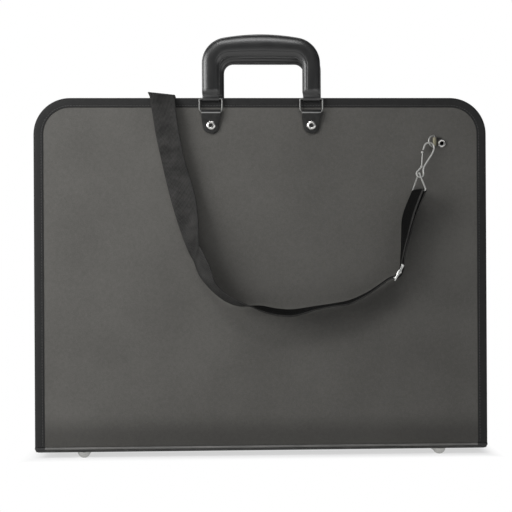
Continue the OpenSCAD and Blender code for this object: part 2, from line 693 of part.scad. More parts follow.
// A zip slider straddles both rows of teeth. Its nose is wide and its tail is narrow.
chain_z = top_z - chain_depth;
slider_x = slider_len / 2 + 2;
module slider_plate(z0, z1) {
  nose = 6.4;
  translate([0, 0, z0]) linear_extrude(z1 - z0) intersection() {
    translate([-slider_len / 2, -nose]) square([slider_len, 2 * nose]);
    union() {
      circle(nose);
      translate([0, -nose + 0.6]) square([slider_len, 2 * nose - 1.2]);
      translate([-slider_len, -nose]) square([slider_len, 2 * nose]);
    }
  }
}
module slider() {
  lid = tooth_t / 2 + gap;
  flange = zip_tape_t / 2 + gap;
  color("#8c8c88") translate([slider_x, 0, chain_z]) {
    difference() {
      union() {
        slider_plate(flange, lid + 1.2);
        slider_plate(-lid - 1.2, -flange);
      }
      translate([-slider_len, -tooth_back - gap, -lid]) cube([2 * slider_len, 2 * (tooth_back + gap), 2 * lid]);
    }
    translate([0, 1.6, lid + 1.2]) rotate([90, 0, 0]) linear_extrude(3.2) difference() {
      polygon([[-4.5, -0.4], [4.5, -0.4], [4.5, 1.5], [3, 3.4], [-3, 3.4], [-4.5, 1.5]]);
      translate([0, 1.6]) circle(1.2);
    }
  }
}

// The pull turns on a pin through the slider's bridge, and lies flat towards the tail
pull_z = chain_z + tooth_t / 2 + gap + 1.2 + 1.6;
module pull() {
  color("#9a9a95") translate([slider_x, 0, pull_z]) {
    translate([0, 2.6, 0]) rotate([90, 0, 0]) cylinder(r = 1, h = 5.2);
    difference() {
      translate([-1, -3.4, -0.6]) cube([pull_len, 6.8, 1.2]);
      translate([-2, -1.9, -2]) cube([8, 3.8, 4]);
      translate([pull_len - 6, 0, -2]) cylinder(r = 1.6, h = 4);
    }
  }
}
module right_slider() { slider(); }
module right_pull() { pull(); }
module left_slider() { rear() slider(); }
module left_pull() { rear() pull(); }

module rear_facing() { rear() front_facing(); }
module rear_board() { rear() front_board(); }
module rear_lining() { rear() front_lining(); }
module rear_binding() { rear() front_binding(); }
module rear_gusset() { rear() front_gusset(); }
module rear_zip_tape() { rear() front_zip_tape(); }
module rear_zip_teeth() { rear() front_zip_teeth(); }
module rear_tabs() { rear() front_tabs(); }
module rear_tab_rivets() { rear() front_tab_rivets(); }
module rear_tab_washers() { rear() front_tab_washers(); }
module rear_anchor_plate() { rear() front_anchor_plate(); }
module rear_anchor_rivet() { rear() front_anchor_rivet(); }
module rear_anchor_washer() { rear() front_anchor_washer(); }
module rear_d_ring() { rear() front_d_ring(); }
module rear_hook() { rear() front_hook(); }
module rear_hook_gate() { rear() front_hook_gate(); }
module rear_strap_loop() { rear() front_strap_loop(); }
module rear_rings() { rear() front_rings(); }
module rear_handle() { rear() translate([-rear_slide, 0, 0]) front_handle(); }
module rear_tongues() { rear() translate([-rear_slide, 0, 0]) front_tongues(); }

spine_skin();
spine_board();
spine_lining();
spine_end_bindings();
end_gussets();
floor_studs();
stud_washers();
strap_crown();
front_facing();
front_board();
front_lining();
front_binding();
front_gusset();
front_zip_tape();
front_zip_teeth();
front_tabs();
front_tab_rivets();
front_tab_washers();
front_anchor_plate();
front_anchor_rivet();
front_anchor_washer();
front_d_ring();
front_hook();
front_hook_gate();
front_strap_loop();
front_strap();
strap_buckle();
front_rings();
front_handle();
front_tongues();
rear_facing();
rear_board();
rear_lining();
rear_binding();
rear_gusset();
rear_zip_tape();
rear_zip_teeth();
rear_tabs();
rear_tab_rivets();
rear_tab_washers();
rear_anchor_plate();
rear_anchor_rivet();
rear_anchor_washer();
rear_d_ring();
rear_hook();
rear_hook_gate();
rear_strap_loop();
rear_strap();
rear_rings();
rear_handle();
rear_tongues();
left_slider();
left_pull();
right_slider();
right_pull();
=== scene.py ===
import bisect
import math

import bmesh
import bpy
from mathutils import Matrix, Vector


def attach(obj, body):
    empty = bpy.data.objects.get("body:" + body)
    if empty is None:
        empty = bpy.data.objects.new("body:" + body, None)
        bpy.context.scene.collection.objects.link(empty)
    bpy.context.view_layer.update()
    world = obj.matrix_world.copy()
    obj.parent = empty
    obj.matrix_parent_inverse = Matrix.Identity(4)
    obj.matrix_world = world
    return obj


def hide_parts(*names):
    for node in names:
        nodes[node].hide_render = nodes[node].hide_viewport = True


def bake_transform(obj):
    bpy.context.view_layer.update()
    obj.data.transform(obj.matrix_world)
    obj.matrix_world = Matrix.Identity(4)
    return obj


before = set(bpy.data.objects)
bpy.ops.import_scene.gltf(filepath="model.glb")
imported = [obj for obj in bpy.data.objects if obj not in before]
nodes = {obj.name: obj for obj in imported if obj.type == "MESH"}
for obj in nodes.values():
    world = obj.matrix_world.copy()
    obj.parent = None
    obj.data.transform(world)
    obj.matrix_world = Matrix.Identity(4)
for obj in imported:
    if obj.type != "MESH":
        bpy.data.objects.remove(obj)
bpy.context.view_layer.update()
scene = bpy.context.scene
scene.view_settings.view_transform = "Standard"

# The view: level with the middle of the case, a little from its left and rolled by a third of a
# degree, so that the foot of the case runs up to the right.
metres_a_pixel, picture_pixels, sensor_mm = 0.0012350, 512, 36
distance, aside, roll = 1.2, math.radians(-1.8), math.radians(-0.3)
aim = Vector((-0.0073, -0.0200, 0.2480))
camera_data = bpy.data.cameras.new("view")
camera_data.sensor_width = sensor_mm
camera_data.lens = sensor_mm * distance / (picture_pixels * metres_a_pixel)
camera = bpy.data.objects.new("view", camera_data)
scene.collection.objects.link(camera)
camera.matrix_world = (Matrix.Translation(aim) @ Matrix.Rotation(aside, 4, "Z")
                       @ Matrix.Translation((0, -distance, 0)) @ Matrix.Rotation(math.pi / 2, 4, "X")
                       @ Matrix.Rotation(roll, 4, "Z"))
scene.camera = camera


class Grade:
    """A number that varies over a surface, so that it can be written in sums."""

    def __init__(self, finish, socket):
        self.finish, self.socket = finish, socket

    def step(self, operation, *terms):
        return self.finish.node("ShaderNodeMath", {"operation": operation}, dict(enumerate(terms)))

    def __add__(self, other):
        return self.step("ADD", self, other)

    def __sub__(self, other):
        return self.step("SUBTRACT", self, other)

    def __rsub__(self, other):
        return self.step("SUBTRACT", other, self)

    def __mul__(self, other):
        return self.step("MULTIPLY", self, other)

    def __abs__(self):
        return self.step("ABSOLUTE", self)

    __radd__ = __add__

    def wave(self):
        return self.step("SINE", self)

    def or_more(self, other):
        return self.step("MAXIMUM", self, other)

    def over(self, low, high):
        """0 below low, 1 above high, smooth between."""
        return self.finish.node("ShaderNodeMapRange", {"interpolation_type": "SMOOTHSTEP"},
                                {"Value": self, "From Min": low, "From Max": high})


class Finish:
    """One material: its fixed values sit on the shader, its varying ones come from nodes."""

    def __init__(self, name, **fixed):
        self.mat = bpy.data.materials.new(name)
        self.mat.use_nodes = True
        self.tree = self.mat.node_tree
        self.shader = self.tree.nodes["Principled BSDF"]
        for key, value in fixed.items():
            self.shader.inputs[key.replace("_", " ")].default_value = value

    def put(self, slot, value):
        if isinstance(value, Grade):
            self.tree.links.new(value.socket, slot)
        elif isinstance(value, tuple) and len(value) == 3 and slot.type == "RGBA":
            slot.default_value = (*value, 1)
        else:
            slot.default_value = value

    def node(self, kind, settings=None, inputs=None, out=0):
        made = self.tree.nodes.new(kind)
        for key, value in (settings or {}).items():
            setattr(made, key, value)
        for key, value in (inputs or {}).items():
            self.put(made.inputs[key], value)
        return Grade(self, made.outputs[out])

    def place(self, scale=(1, 1, 1)):
        """The place on the object in metres, drawn out by a factor on each axis."""
        spot = self.node("ShaderNodeTexCoord", out="Object")
        return self.node("ShaderNodeMapping", None, {"Vector": spot, "Scale": scale})

    def noise(self, size, detail=3.0, rough=0.5, at=None):
        """Even noise from 0 to 1 with lumps of about a size in metres."""
        return self.node("ShaderNodeTexNoise", None, {
            "Vector": at or self.place(), "Scale": 1 / size, "Detail": detail, "Roughness": rough})

    def cells(self, size):
        """Rounded pebbles of about a size in metres."""
        return self.node("ShaderNodeTexVoronoi", {"feature": "SMOOTH_F1"}, {
            "Vector": self.place(), "Scale": 1 / size})

    def xyz(self, vector=None):
        """The three numbers of a vector, or of the place on the object in metres."""
        split = self.node("ShaderNodeSeparateXYZ", None, {0: vector or self.place()})
        return [Grade(self, socket) for socket in split.socket.node.outputs]

    def woven(self):
        """The two ways across a cloth, in metres, kept with the mesh."""
        return self.xyz(self.node("ShaderNodeTexCoord", out="UV"))[:2]

    def tint(self, share, dark, light):
        return self.node("ShaderNodeMix", {"data_type": "RGBA"}, {0: share, 6: dark, 7: light}, out=2)

    def bump(self, height, depth, strength):
        return self.node("ShaderNodeBump", None, {
            "Height": height, "Distance": depth, "Strength": strength})

    def wear(self, **varying):
        for key, value in varying.items():
            self.put(self.shader.inputs[key.replace("_", " ")], value)

    def on(self, *names):
        for name in names:
            for slot in nodes[name].material_slots:
                slot.material = self.mat


# The studio: a white floor that runs up behind the case in one sweep. A large soft lamp stands at
# the left front, a strip lamp hangs high in front and a weak lamp fills in low from the right.
class Sweep(Finish):
    def glow(self, share):
        """White to the eye far from the case, and by a share close to it, where the shadow falls."""
        path = self.node("ShaderNodeLightPath").socket.node.outputs
        seen = Grade(self, path["Is Camera Ray"])
        for key in ("Is Glossy Ray", "Is Transmission Ray"):
            seen += Grade(self, path[key])
        white = self.node("ShaderNodeEmission", None, {"Color": (1, 1, 1), "Strength": 1.0})
        across, back, _ = self.xyz(self.node("ShaderNodeTexCoord", out="Object"))
        case_half, case_back = 0.28, 0.02
        away = (abs(across) - case_half).or_more(abs(back) - case_back).over(-0.006, 0.02)
        floor = self.node("ShaderNodeMixShader", None, {
            0: seen * (away * (1 - share) + share), 1: Grade(self, self.shader.outputs[0]), 2: white})
        self.tree.links.new(floor.socket, self.tree.nodes["Material Output"].inputs["Surface"])


sweep = Sweep("studio_white", Base_Color=(0.86, 0.86, 0.86, 1), Roughness=0.9)
sweep.wear(Roughness=sweep.noise(0.4) * 0.1 + 0.85)
sweep.glow(0.60)
reach, wall, bend, sweep_top = 4.0, 1.6, 0.8, 3.0
profile = [(-reach, 0.0), (wall, 0.0)]
profile += [(wall + bend * math.sin(a * math.pi / 16), bend * (1 - math.cos(a * math.pi / 16)))
            for a in range(1, 9)]
profile.append((wall + bend, sweep_top))
floor_mesh = bpy.data.meshes.new("studio_floor")
floor_mesh.from_pydata([(x, y, z) for y, z in profile for x in (-reach, reach)], [],
                       [(2 * i, 2 * i + 1, 2 * i + 3, 2 * i + 2) for i in range(len(profile) - 1)])
floor_mesh.shade_smooth()
floor_mesh.materials.append(sweep.mat)
studio_floor = bpy.data.objects.new("studio_floor", floor_mesh)
scene.collection.objects.link(studio_floor)

lit_point = Vector((0, 0, 0.24))
for lamp_name, at, wide, tall, power in (("key_lamp", (-0.91, -0.68, 0.60), 0.74, 0.74, 14.0),
                                         ("top_lamp", (-0.08, -1.12, 1.42), 0.90, 0.30, 8.0),
                                         ("fill_lamp", (0.85, -1.15, 0.16), 0.80, 0.80, 1.8)):
    lamp_data = bpy.data.lights.new(lamp_name, "AREA")
    lamp_data.shape = "RECTANGLE"
    lamp_data.energy, lamp_data.size, lamp_data.size_y = power, wide, tall
    lamp = bpy.data.objects.new(lamp_name, lamp_data)
    scene.collection.objects.link(lamp)
    lamp.location = at
    lamp.rotation_euler = (lit_point - Vector(at)).to_track_quat("-Z", "Y").to_euler()

world = bpy.data.worlds.new("room")
world.use_nodes = True
room_light = world.node_tree.nodes["Background"].inputs
room_light["Color"].default_value = (0.9, 0.93, 1.0, 1)
room_light["Strength"].default_value = 0.13
scene.world = world

# The cover sheets: thin vinyl with a fine pebbled grain and painted shade that darkens it along the foot,
# glued over a grey fibreboard that stiffens each cover, with a plain lining glued on its inner face.
cover_grain = Finish("cover_grain", Specular_IOR_Level=0.15, Sheen_Weight=0.02, Sheen_Roughness=0.5)
pebble = cover_grain.cells(0.0011)
fine = cover_grain.noise(0.0005, 2.0)
cloud = cover_grain.noise(0.09, 2.0)
rub = cover_grain.noise(0.0035, 4.0, 0.65)
# painted shade: each cover's colour darkens towards its foot, above the crease, standing in for shade there
foot_painted_shade = 1 - cover_grain.xyz()[2].over(0.026, 0.058)
sheet_grey = cover_grain.tint((cloud * 0.5 + rub * 0.4 + pebble * 0.25).over(0.25, 0.85),
                              (0.0600, 0.0582, 0.0535), (0.0910, 0.0884, 0.0816))
cover_grain.wear(
    Base_Color=cover_grain.tint(foot_painted_shade * 0.48, sheet_grey, (0.018, 0.0174, 0.0162)),
    Roughness=0.50 + fine * 0.10 + rub * 0.08,
    Normal=cover_grain.bump(pebble * 0.7 + fine * 0.3 + rub * 0.3, 0.00012, 0.55))
cover_grain.on("front_facing", "rear_facing")

fibreboard = Finish("fibreboard", Specular_IOR_Level=0.2)
pulp = fibreboard.noise(0.0012, 4.0, 0.7, fibreboard.place((1, 6, 1)))
fibreboard.wear(Base_Color=fibreboard.tint(pulp, (0.10, 0.095, 0.085), (0.17, 0.16, 0.145)),
                Roughness=0.8 + pulp * 0.15, Normal=fibreboard.bump(pulp, 0.0002, 0.5))
fibreboard.on("front_board", "rear_board", "spine_board")

lining_cloth = Finish("lining_cloth", Specular_IOR_Level=0.25, Sheen_Weight=0.25, Sheen_Roughness=0.4)
weft, _, warp = lining_cloth.xyz()
threads = (weft * 9000).wave() * (warp * 9000).wave()
slub = lining_cloth.noise(0.02, 3.0, 0.6, lining_cloth.place((1, 1, 0.12)))
lining_cloth.wear(
    Base_Color=lining_cloth.tint((threads * 0.25 + slub).over(0.2, 0.9), (0.010, 0.010, 0.011),
                                 (0.026, 0.026, 0.027)),
    Roughness=0.74 + slub * 0.14, Normal=lining_cloth.bump(threads + slub * 2, 0.00012, 0.6))
lining_cloth.on("front_lining", "rear_lining", "spine_lining")

# The binding: grosgrain tape folded over the raw edge of each cover and sewn through with one
# row of stitches, 12 mm wide outside and 7 mm inside. It starts above the spine's end binding.
binding_tape = Finish("binding_tape", Specular_IOR_Level=0.25, Sheen_Weight=0.10, Sheen_Roughness=0.45)
side, along = binding_tape.woven()
rib = (along * 7000).wave()
pick = (side * 4200 + rib * 0.6).wave()
dust = binding_tape.noise(0.006, 4.0, 0.6)
binding_tape.wear(
    Base_Color=binding_tape.tint((rib * 0.25 + dust * 0.9).over(0.1, 0.9), (0.0050, 0.0050, 0.0050),
                                 (0.0135, 0.0135, 0.0131)),
    Roughness=0.60 + dust * 0.15, Normal=binding_tape.bump(rib + pick * 0.5, 0.00010, 0.6))

mm = 0.001
half_w, top_z, corner_r, low_z = 280.0, 443.5, 45.0, 14.5
SIDES = (("front", 1), ("rear", -1))


def turned(points, turn):
    """The front's points, or for turn -1 the same points half way round the upright axis."""
    return [Vector((p[0] * turn, p[1] * turn, p[2])) for p in points]


def piece(name, parts, finish, body, sharp=38.0):
    """One mesh from parts of points in mm, faces and the cloth's two ways in mm."""
    bm = bmesh.new()
    cloth = bm.loops.layers.uv.new("cloth")
    for points, faces, weave in parts:
        verts = [bm.verts.new(Vector(p) * mm) for p in points]
        for corners, ways in zip(faces, weave):
            face = bm.faces.new([verts[k] for k in corners])
            face.smooth = True
            for loop, way in zip(face.loops, ways):
                loop[cloth].uv = (way[0] * mm, way[1] * mm)
    bmesh.ops.recalc_face_normals(bm, faces=bm.faces)
    mesh = bpy.data.meshes.new(name)
    bm.to_mesh(mesh)
    bm.free()
    mesh.set_sharp_from_angle(angle=math.radians(sharp))
    mesh.materials.append(finish.mat)
    made = bpy.data.objects.new(name, mesh)
    scene.collection.objects.link(made)
    if body:
        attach(made, body)
    return made


def loft(rings, closed=False):
    """Skin through rings of points, each ring with the same count, capped unless closed."""
    n, m = len(rings[0]), len(rings)
    mid = rings[m // 2]
    around, along_it = [0.0], [0.0]
    for k in range(n):
        around.append(around[-1] + (mid[(k + 1) % n] - mid[k]).length)
    centres = [sum(ring, Vector()) / n for ring in rings]
    for i in range(1, m + closed):
        along_it.append(along_it[-1] + (centres[i % m] - centres[i - 1]).length)
    faces, weave = [], []
    for i in range(m - 1 + closed):
        j = (i + 1) % m
        for k in range(n):
            q = (k + 1) % n
            faces.append((i * n + k, i * n + q, j * n + q, j * n + k))
            weave.append(((around[k], along_it[i]), (around[k + 1], along_it[i]),
                          (around[k + 1], along_it[i + 1]), (around[k], along_it[i + 1])))
    if not closed:
        faces += [tuple(range(n))[::-1], tuple((m - 1) * n + k for k in range(n))]
        weave += [[(0, 0)] * n] * 2
    return [p for ring in rings for p in ring], faces, weave


def edge_way(low, step=18.0):
    """Places on the cover's outline from one foot over the top to the other, with the inward way."""
    rise = top_z - corner_r - low
    foot_count = round(rise / step)
    way = [(-half_w, low + rise * i / foot_count, 1.0, 0.0) for i in range(foot_count)]
    bend_count = 18
    for i in range(bend_count + 1):
        a = math.pi * (1 - i / (2 * bend_count))
        way.append((corner_r - half_w + corner_r * math.cos(a), top_z - corner_r + corner_r * math.sin(a),
                    -math.cos(a), -math.sin(a)))
    span = 2 * (half_w - corner_r)
    count = round(span / step)
    way += [(corner_r - half_w + span * i / count, top_z, 0.0, -1.0) for i in range(1, count)]
    return way + [(-x, z, -nx, nz) for x, z, nx, nz in reversed(way[:foot_count + bend_count + 1])]


def edged(profile, low, step=18.0):
    """A profile of depth from the outline and y, drawn along the outline."""
    return loft([[Vector((x + d * nx, y, z + d * nz)) for d, y in profile]
                 for x, z, nx, nz in edge_way(low, step)])


binding_profile = [(11.9, -19.2), (12.0, -19.5), (11.85, -19.82), (11.5, -19.96), (10.6, -19.98),
                   (9.9, -19.9), (9.55, -19.8), (9.2, -19.9), (8.4, -19.98), (5.0, -20.0), (1.9, -19.95),
                   (0.95, -19.6), (0.3, -18.9), (0.04, -18.1), (0.0, -17.2), (0.04, -16.3), (0.3, -15.4),
                   (0.95, -14.75), (1.9, -14.42), (3.6, -14.4), (4.4, -14.5), (5.2, -14.4), (6.5, -14.42),
                   (6.8, -14.7), (6.7, -15.2), (0.9, -15.25), (0.9, -19.15)]


def stitch(at, run, out, length=2.6, r=0.26):
    """One stitch of thread: a short grain that lies on the tape and dips in at its ends."""
    across = run.cross(out)
    rings = []
    for t, wide, lift in ((-1, 0.35, -0.5), (-0.72, 0.9, 0.1), (0, 1.0, 0.35),
                          (0.72, 0.9, 0.1), (1, 0.35, -0.5)):
        centre = at + run * (t * length / 2) + out * (lift * r)
        rings.append([centre + r * wide * (math.cos(a) * across + math.sin(a) * out)
                      for a in (0, 1.05, 2.09, 3.14, 4.19, 5.24)])
    return loft(rings)


def stitch_row(path, out, pitch=3.5):
    """Stitches at an even pitch along a path of points."""
    gone = [0.0]
    for a, b in zip(path, path[1:]):
        gone.append(gone[-1] + (b - a).length)
    parts = []
    count = int(gone[-1] / pitch)
    for k in range(count):
        s = (k + 0.5) * gone[-1] / count
        i = min(bisect.bisect_right(gone, s) - 1, len(path) - 2)
        run = path[i + 1] - path[i]
        parts.append(stitch(path[i] + run * ((s - gone[i]) / run.length), run.normalized(), out))
    return parts


thread = Finish("sewing_thread", Specular_IOR_Level=0.4, Sheen_Weight=0.2)
ply = thread.noise(0.0006, 2.0)
thread.wear(Base_Color=thread.tint(ply, (0.018, 0.018, 0.018), (0.048, 0.047, 0.045)),
            Roughness=0.5 + ply * 0.2, Normal=thread.bump(ply, 0.0001, 0.6))

for which, turn in SIDES:
    points, faces, weave = edged(binding_profile, low_z, 9.0)
    binding = piece(which + "_edge_binding", [(turned(points, turn), faces, weave)], binding_tape,
                    which + "_cover")
    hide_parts(which + "_binding")
    rows = []
    for depth, y, out in ((9.55, -19.86, -1), (4.4, -14.44, 1)):
        path = [(x + depth * nx, y, z + depth * nz) for x, z, nx, nz in edge_way(low_z + 1, 5.0)]
        rows += stitch_row(turned(path, turn), Vector((0, out * turn, 0)))
    piece(which + "_binding_stitches", rows, thread, which + "_cover")

# The spine: a strip of the grained sheet round its own board, with a bead along each crease that
# the covers swing on. A smooth welt is laid along each bead, between the end bindings, its pale colour a
# painted highlight where the bead catches the light.
spine_grain = Finish("spine_grain", Specular_IOR_Level=0.4)
knobs = spine_grain.cells(0.0011)
scuff = spine_grain.noise(0.004, 4.0, 0.7, spine_grain.place((0.3, 1, 1)))
spine_grain.wear(
    Base_Color=spine_grain.tint(scuff.over(0.35, 0.8), (0.016, 0.016, 0.015), (0.045, 0.044, 0.041)),
    Roughness=0.52 + scuff * 0.15, Normal=spine_grain.bump(knobs + scuff * 0.5, 0.0001, 0.5))
spine_grain.on("spine_skin")
end_tape = Finish("end_tape", Specular_IOR_Level=0.35, Sheen_Weight=0.1)
wale = (end_tape.xyz()[0] * 7000).wave()
lint = end_tape.noise(0.005, 4.0, 0.6)
end_tape.wear(Base_Color=end_tape.tint(lint, (0.012, 0.012, 0.012), (0.028, 0.028, 0.027)),
              Roughness=0.6 + lint * 0.15, Normal=end_tape.bump(wale + lint, 0.0001, 0.5))
end_tape.on("spine_end_bindings")


def turned_welt(turn):
    """A thin strip bent round the bead's upper and outer side, the bead's own length."""
    bead_half, bead_y, bead_z, under, over = 267.6, -17.8, 12.3, 1.66, 1.94
    arc = [math.radians(a) for a in range(85, 216, 13)]
    ring = [(over, a) for a in arc] + [(under, a) for a in reversed(arc)]
    rings = []
    for i in range(33):
        x = bead_half * (i / 16 - 1)
        rings.append([Vector((x, bead_y + r * math.cos(a), bead_z + r * math.sin(a))) for r, a in ring])
    points, faces, weave = loft(rings)
    return turned(points, turn), faces, weave


# painted highlight: the welt's pale tint stands for the light caught along the top of each crease bead
welt_painted_highlight = Finish("welt_painted_highlight", Specular_IOR_Level=0.5)
graze = welt_painted_highlight.noise(0.006, 4.0, 0.65, welt_painted_highlight.place((0.2, 1, 1)))
welt_painted_highlight.wear(
    Base_Color=welt_painted_highlight.tint(graze.over(0.3, 0.8), (0.075, 0.074, 0.070), (0.135, 0.133, 0.126)),
    Roughness=0.40 + graze * 0.2, Normal=welt_painted_highlight.bump(graze, 0.0001, 0.5))
for which, turn in SIDES:
    piece(which + "_crease_welt", [turned_welt(turn)], welt_painted_highlight, "spine")

# The studs and rivets: the spine stands on four pressed steel domes, plated dull, each riveted
# through it over a washer. The tabs and anchors are held by bright nickel tubular rivets.
bright_nickel = Finish("bright_nickel", Metallic=1.0)
smear = bright_nickel.noise(0.003, 3.0, 0.6)
pit = bright_nickel.noise(0.0004, 2.0)
bright_nickel.wear(Base_Color=bright_nickel.tint(smear, (0.46, 0.455, 0.44), (0.64, 0.63, 0.61)),
                   Roughness=0.16 + smear * 0.16, Normal=bright_nickel.bump(pit, 0.00003, 0.3))
bright_nickel.on("front_tab_rivets", "rear_tab_rivets", "front_anchor_rivet", "rear_anchor_rivet")
dull_steel = Finish("dull_steel", Metallic=1.0)
brush = dull_steel.noise(0.0025, 4.0, 0.7)
dull_steel.wear(Base_Color=dull_steel.tint(brush, (0.34, 0.34, 0.33), (0.52, 0.52, 0.50)),
                Roughness=0.34 + brush * 0.2, Normal=dull_steel.bump(brush, 0.00004, 0.4))
dull_steel.on("floor_studs", "stud_washers", "front_tab_washers", "rear_tab_washers",
              "front_anchor_washer", "rear_anchor_washer")

# The gusset and the zip: a strip of plain cloth is caught under the binding and stands in, and the
# zip's woven tape is laid on it. Moulded teeth grip the tape's edge and lock over the middle.
gusset_cloth = Finish("gusset_cloth", Specular_IOR_Level=0.25, Sheen_Weight=0.3, Sheen_Roughness=0.5)
across_cloth, down_cloth = gusset_cloth.woven()
plain = (across_cloth * 6000).wave() * (down_cloth * 6000).wave()
fold = gusset_cloth.noise(0.03, 3.0)
gusset_cloth.wear(
    Base_Color=gusset_cloth.tint((plain * 0.3 + fold).over(0.1, 1.0), (0.009, 0.009, 0.010),
                                 (0.024, 0.024, 0.025)),
    Roughness=0.72 + fold * 0.2, Normal=gusset_cloth.bump(plain + fold * 2, 0.00012, 0.6))
zip_weave = Finish("zip_weave", Specular_IOR_Level=0.3, Sheen_Weight=0.15)
tape_side, tape_run = zip_weave.woven()
twill = ((tape_side + tape_run) * 5000).wave()
zip_weave.wear(Base_Color=zip_weave.tint(twill * 0.5 + 0.5, (0.008, 0.008, 0.008), (0.020, 0.020, 0.020)),
               Roughness=0.62 + twill * 0.08, Normal=zip_weave.bump(twill, 0.00012, 0.7))
tooth_resin = Finish("tooth_resin", Specular_IOR_Level=0.5)
mould = tooth_resin.noise(0.002, 3.0)
tooth_resin.wear(Base_Color=tooth_resin.tint(mould, (0.010, 0.010, 0.010), (0.022, 0.022, 0.022)),
                 Roughness=0.28 + mould * 0.15, Normal=tooth_resin.bump(mould, 0.00005, 0.4))
tooth_resin.on("front_zip_teeth", "rear_zip_teeth")
gusset_low, tape_low, seam_in, seam_y = 39.3, 41.3, 9.38, -10.6
gusset_profile = [(0.95, -15.98), (7.8, -15.98), (8.5, -15.8), (8.8, -15.2), (8.8, -7.4), (8.7, -7.2),
                  (8.1, -7.2), (8.0, -7.4), (8.0, -14.7), (7.85, -15.1), (7.4, -15.22), (0.95, -15.22)]
tape_profile = [(8.84, -12.2), (9.3, -12.2), (9.4, -12.0), (9.4, -3.6), (9.35, -3.42), (8.84, -3.42)]
for which, turn in SIDES:
    for made, cut, low, finish, slot, gone in (
            ("_side_gusset", gusset_profile, gusset_low, gusset_cloth, "gusset_cloth", "_gusset"),
            ("_zip_stringer", tape_profile, tape_low, zip_weave, "zip_tape", "_zip_tape")):
        points, faces, weave = edged(cut, low)
        strip = piece(which + made, [(turned(points, turn), faces, weave)], finish, which + "_cover")
        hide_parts(which + gone)
    path = [(x + seam_in * nx, seam_y, z + seam_in * nz) for x, z, nx, nz in edge_way(tape_low + 1, 5.0)]
    path = turned(path, turn)
    seam = []
    for a, b in zip(path, path[1:]):
        run = (b - a).normalized()
        inward = Vector((0, 0, -1)) if abs(run.x) > 0.7 else Vector((-1 if (a + b).x > 0 else 1, 0, 0))
        seam.append(stitch((a + b) / 2, run, inward, 3.0, 0.22))
    piece(which + "_zip_stitches", seam, thread, which + "_cover")

slider_metal = Finish("slider_metal", Metallic=1.0)
cast = slider_metal.noise(0.0016, 4.0, 0.6)
slider_metal.wear(Base_Color=slider_metal.tint(cast, (0.30, 0.30, 0.29), (0.50, 0.50, 0.48)),
                  Roughness=0.30 + cast * 0.2, Normal=slider_metal.bump(cast, 0.00005, 0.4))
slider_metal.on("left_slider", "right_slider", "left_pull", "right_pull")

# The end gussets: a short piece of the same cloth across each end of the spine, its upper corners
# cut hollow to clear the covers' gussets. It shuts the gap below the zip.
end_x, end_half, end_foot, end_top, hollow = 270.9, 13.0, 10.9, 33.8, 4.0
for which, sx in (("left", -1), ("right", 1)):
    rings = []
    for i in range(25):
        t = -1 + i / 12
        edge = end_half - abs(t * end_half)
        top = end_top - (math.sqrt(hollow ** 2 - edge ** 2) if edge < hollow else 0)
        puff = 0.35 * math.cos(t * math.pi / 2)
        rise = top - end_foot
        rings.append([Vector((sx * (end_x + dx + puff * out), t * end_half, end_foot + rise * share))
                      for dx, share, out in ((-0.45, 0, 0), (-0.45, 0.5, 1), (-0.45, 1, 0),
                                             (0.45, 1, 0), (0.45, 0.5, 1), (0.45, 0, 0))])
    end_cloth = piece(which + "_end_cloth", [loft(rings)], gusset_cloth, "spine")
    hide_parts("end_gussets")

# The tabs: a strip of leatherette folded round each ring's lower bar and fixed to the cover by
# one tubular rivet, 23.5 mm wide at the fold, drawn in and rounded below the rivet. A pale
# line is painted along the edge of the fold on the front as a painted highlight.
tab_grain = Finish("tab_grain", Specular_IOR_Level=0.3)
tab_pores = tab_grain.cells(0.0010)
tab_rub = tab_grain.noise(0.005, 4.0, 0.6)
# painted highlight: a pale line on the fold's front at the height of the bar, where the fold catches the light
glint_line_offset = tab_grain.xyz()[2] - 0.4244
fold_painted_highlight = (0.0009 - abs(glint_line_offset + tab_rub * 0.0002)).over(0, 0.0005)
tab_grain.wear(
    Base_Color=tab_grain.tint(tab_rub.over(0.3, 0.8) * 0.05 + fold_painted_highlight * 0.85, (0.0055, 0.0055, 0.005),
                              (0.22, 0.22, 0.215)),
    Roughness=0.50 + tab_rub * 0.15, Normal=tab_grain.bump(tab_pores + tab_rub, 0.00012, 0.5))
tab_pitch, bar_z, ring_y, rivet_z, tab_t = 124.0, 425.3, -23.2, 409.3, 1.4
tab_round, fold_half = 10.25, 11.75


def tab_half(z):
    """Half the width of a tab at a height."""
    if z < rivet_z:
        return math.sqrt(max(0.2, tab_round ** 2 - (rivet_z - z) ** 2))
    return tab_round + (fold_half - tab_round) * min(1, (z - rivet_z) / (bar_z - 5 - rivet_z))


def folded_tab():
    """Points down the middle of the strip: up the back, round the bar and down the front."""
    mid_r, cover_y, back_foot, front_foot, bend_z = 1.6 + tab_t / 2, -19.2, 400.4, 399.2, 410.5
    back, front = cover_y - tab_t / 2, cover_y - 1.5 * tab_t
    heights = [back_foot + 22.4 * i / 8 for i in range(9)]
    line = [(back, z, tab_half(z)) for z in heights if z < bar_z - 3]
    line += [(ring_y + mid_r * math.cos(a), bar_z + mid_r * math.sin(a), fold_half)
             for a in (math.radians(d) for d in range(-10, 200, 15))]
    drop = [(-25.2, 422.6), (-24.4, 419.6), (-23.4, 416.4), (-22.2, 413.2), (front, bend_z)]
    line += [(y, z, tab_half(z)) for y, z in drop]
    heights = [bend_z - (bend_z - front_foot) * i / 9 for i in range(1, 10)]
    return line + [(front, z, tab_half(z)) for z in heights]


upper_edge = [(-1, 0), (-0.985, 0.75), (-0.94, 1), (-0.5, 1), (0, 1), (0.5, 1), (0.94, 1), (0.985, 0.75)]
strip_ring = upper_edge + [(-s, -h) for s, h in upper_edge]


